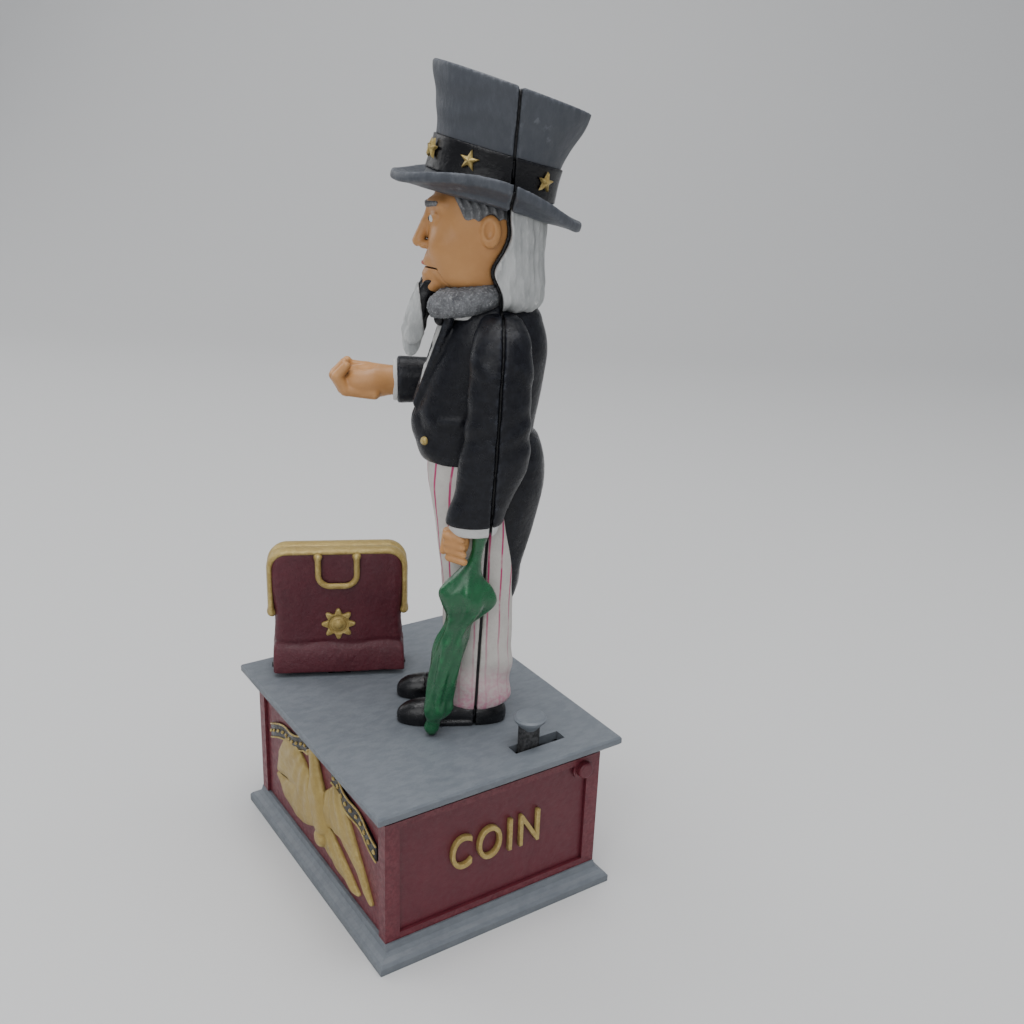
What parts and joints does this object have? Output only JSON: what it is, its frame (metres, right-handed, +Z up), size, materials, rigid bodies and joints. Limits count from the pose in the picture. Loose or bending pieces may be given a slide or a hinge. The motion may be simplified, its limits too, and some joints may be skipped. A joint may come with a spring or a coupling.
{
  "type": "mechanical bank",
  "caption": "Mechanical bank: a cast figure in a top hat on a box; a pressed knob lowers its hand to an opening travelling bag that takes the coin.",
  "frame": {"origin": "middle of the base's underside", "axes": "+Z up, -Y towards the emblem side of the box, +X towards the lettered side with the lever's rod head"},
  "size_m": [0.1174, 0.0972, 0.2798],
  "materials": {
    "grey_paint": "satin brushed enamel",
    "maroon_paint": "satin enamel",
    "rod_paint": "satin enamel",
    "bare_steel": "plain",
    "bare_iron": "as cast",
    "rod_steel": "satin enamel",
    "coat_paint": "satin enamel, worn high spots",
    "hair_paint": "satin enamel with dark wash",
    "gold_paint": "dull gold enamel",
    "green_paint": "semi gloss enamel",
    "bag_paint": "satin enamel",
    "flesh_paint": "satin enamel",
    "shoe_paint": "gloss enamel",
    "trouser_paint": "satin enamel, thin stripes",
    "band_paint": "gloss enamel",
    "shirt_paint": "satin enamel",
    "beard_paint": "stippled grey enamel"
  },
  "bodies": {
    "bank": {"base_flange": "grey_paint", "front_panel": "maroon_paint", "rear_panel": "maroon_paint", "left_side_panel": "maroon_paint", "right_side_panel": "maroon_paint", "top_plate": "grey_paint", "corner_tie_screws": "bare_steel", "pivot_rod": "rod_paint", "lever_return_spring": "bare_steel", "spring_post": "bare_iron", "trap_rivet": "bare_steel", "umbrella": "green_paint", "shoulder_pin": "rod_steel", "jaw_pin": "bare_steel", "figure_mount_screws": "bare_steel", "shell_screw": "gold_paint", "bag_fixed_half": "bag_paint", "bag_hinge_pin": "bare_steel", "bag_screws": "bare_steel", "figure_front_shell": "coat_paint", "figure_rear_shell": "coat_paint"},
    "lever": {"operating_lever": "bare_iron", "lever_knob": "grey_paint"},
    "arm": {"right_arm": "coat_paint", "crank_peg": "bare_steel"},
    "rod": {"arm_rod": "bare_steel", "jaw_link": "bare_steel"},
    "chin": {"jaw": "hair_paint"},
    "bag_door": {"bag_front_half": "bag_paint"},
    "trap": {"trap_cover": "bare_iron"}
  },
  "joints": [
    {"name": "lever_press", "type": "hinge", "parent": "bank", "child": "lever", "pos_m": [0, 0.0361, 0.0504], "axis": [1, 0, 0], "range_deg": [0, 13], "stiffness_Nm_per_rad": 0.5, "springref_deg": -22.92, "deforming": ["lever_return_spring"]},
    {"name": "arm_lower", "type": "hinge", "parent": "bank", "child": "arm", "pos_m": [-0.00189, 0.02775, 0.2005], "axis": [0.8829, -0.4695, 0], "range_deg": [0, 28.01]},
    {"name": "rod_slide", "type": "slide", "parent": "bank", "child": "rod", "axis": [0, 0, -1], "range_m": [0, 0.0054]},
    {"name": "jaw_wag", "type": "hinge", "parent": "bank", "child": "chin", "pos_m": [0.01202, 0.0113, 0.2225], "axis": [0.8829, -0.4695, 0], "range_deg": [0, 8.01]},
    {"name": "bag_open", "type": "hinge", "parent": "bank", "child": "bag_door", "pos_m": [-0.03555, -0.01718, 0.066], "axis": [0.4305, 0.9026, 0], "range_deg": [0, 18.01]},
    {"name": "trap_swing", "type": "hinge", "parent": "bank", "child": "trap", "pos_m": [0.009, 0, 0.004], "axis": [0, 0, 1], "range_deg": [0, 100]}
  ],
  "couplings": [
    {"joint": "arm_lower", "follows": "lever_press", "ratio": 2.1538},
    {"joint": "rod_slide", "follows": "lever_press", "m_per_rad": 0.0237},
    {"joint": "jaw_wag", "follows": "lever_press", "ratio": 0.61538},
    {"joint": "bag_open", "follows": "lever_press", "ratio": 1.3846}
  ]
}
